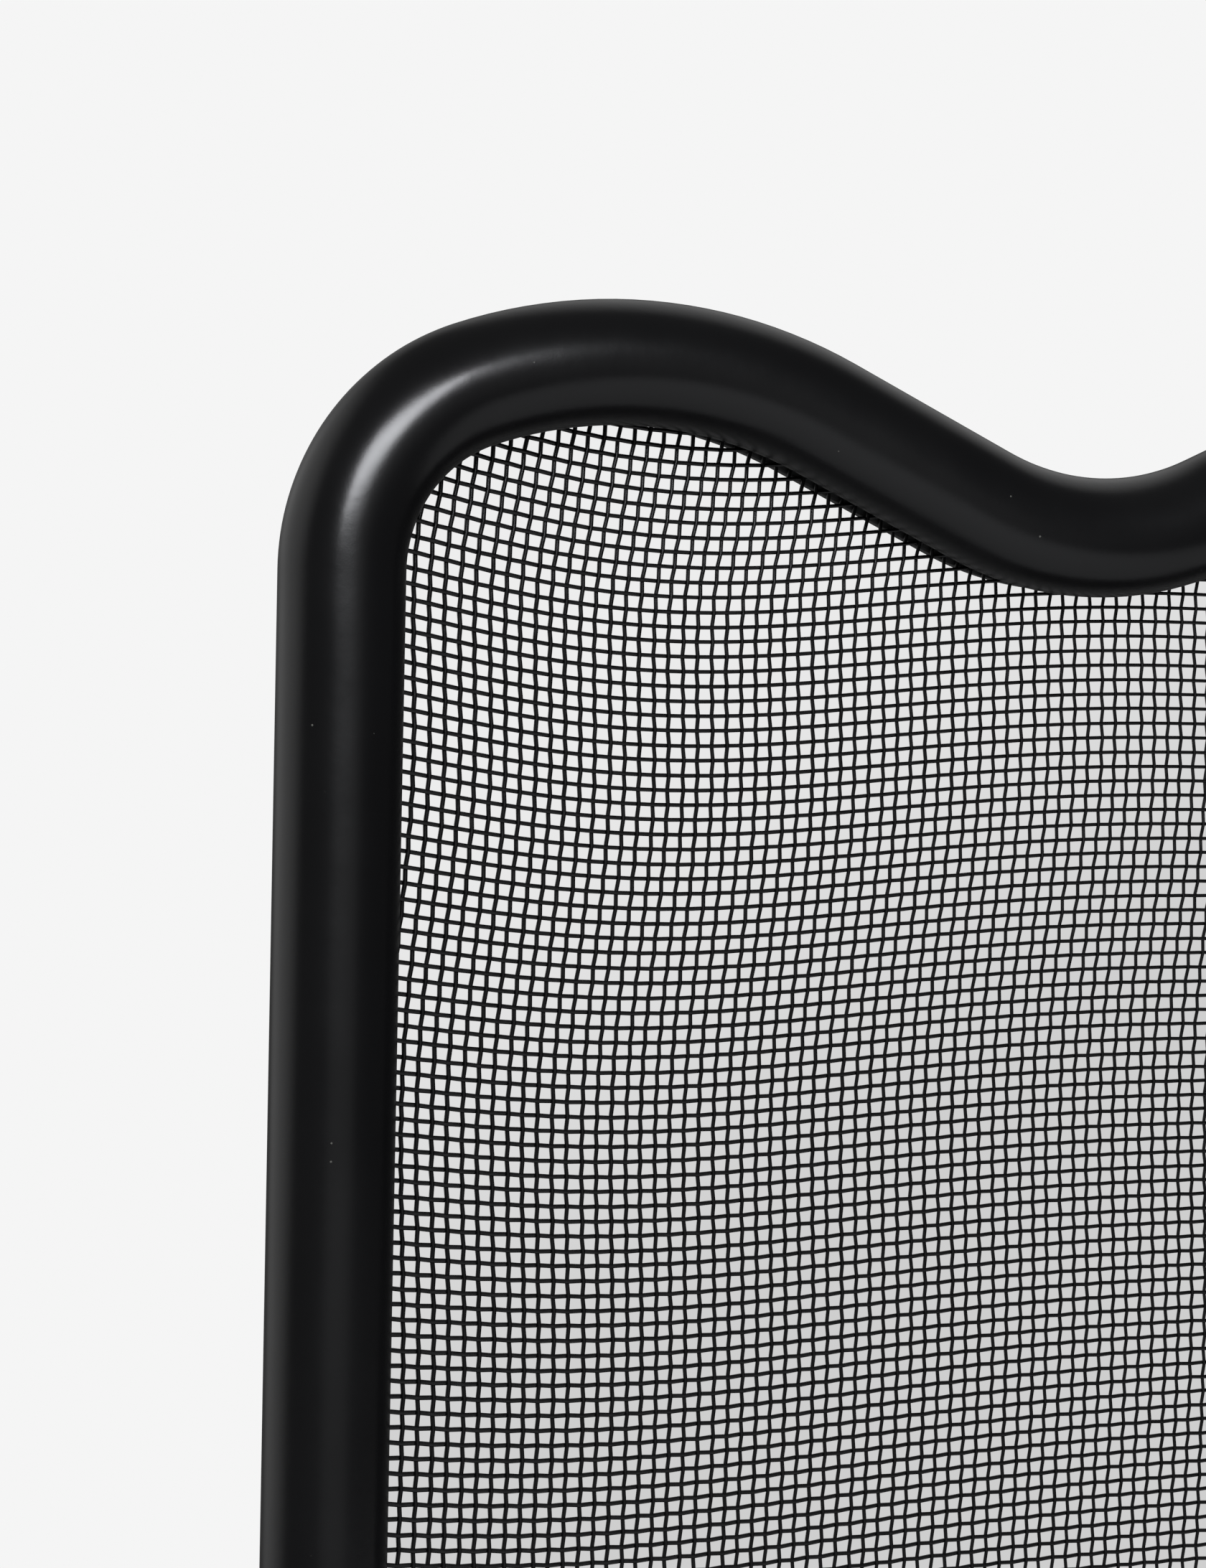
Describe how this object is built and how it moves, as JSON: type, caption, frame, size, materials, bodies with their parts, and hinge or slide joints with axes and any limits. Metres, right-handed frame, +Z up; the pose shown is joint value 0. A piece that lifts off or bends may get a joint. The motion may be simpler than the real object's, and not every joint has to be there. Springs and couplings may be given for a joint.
{
  "type": "fireplace screen",
  "caption": "Single-panel fireplace screen: wavy-topped round steel tube frame with a flat black woven-wire cloth, standing on cross tube feet.",
  "frame": {"origin": "middle of the footprint, on the surface the rubber pads stand on", "axes": "+X along the width to the right seen from the room, +Y from the room towards the fire, +Z up"},
  "size_m": [0.99, 0.2444, 0.78],
  "materials": {
    "frame_powder_coat": "satin black powder coat, smooth",
    "strip_powder_coat": "satin black powder coat",
    "wire_cloth_black": "gloss black enamelled wire",
    "screw_black": "black zinc",
    "bare_steel": "plain drawn steel",
    "bolt_black": "black oxide",
    "cap_plastic": "fine-grained black polyethylene",
    "pad_rubber": "matt black rubber"
  },
  "bodies": {
    "root": {"top_hoop": "frame_powder_coat", "base_rail": "frame_powder_coat", "foot_tube_left": "frame_powder_coat", "foot_tube_right": "frame_powder_coat", "foot_saddle_left": "frame_powder_coat", "foot_saddle_right": "frame_powder_coat", "retainer_top": "strip_powder_coat", "retainer_bottom": "strip_powder_coat", "retainer_left": "strip_powder_coat", "retainer_right": "strip_powder_coat", "wire_cloth": "wire_cloth_black", "retainer_screws_top": "screw_black", "retainer_screws_bottom": "screw_black", "retainer_screws_left": "screw_black", "retainer_screws_right": "screw_black", "spigot_left": "bare_steel", "spigot_right": "bare_steel", "foot_boss_left": "bare_steel", "foot_boss_right": "bare_steel", "foot_bolt_left": "bolt_black", "foot_bolt_right": "bolt_black", "foot_cap_front_left": "cap_plastic", "foot_cap_front_right": "cap_plastic", "foot_cap_back_left": "cap_plastic", "foot_cap_back_right": "cap_plastic", "foot_pad_front_left": "pad_rubber", "foot_pad_front_right": "pad_rubber", "foot_pad_back_left": "pad_rubber", "foot_pad_back_right": "pad_rubber"}
  },
  "joints": []
}
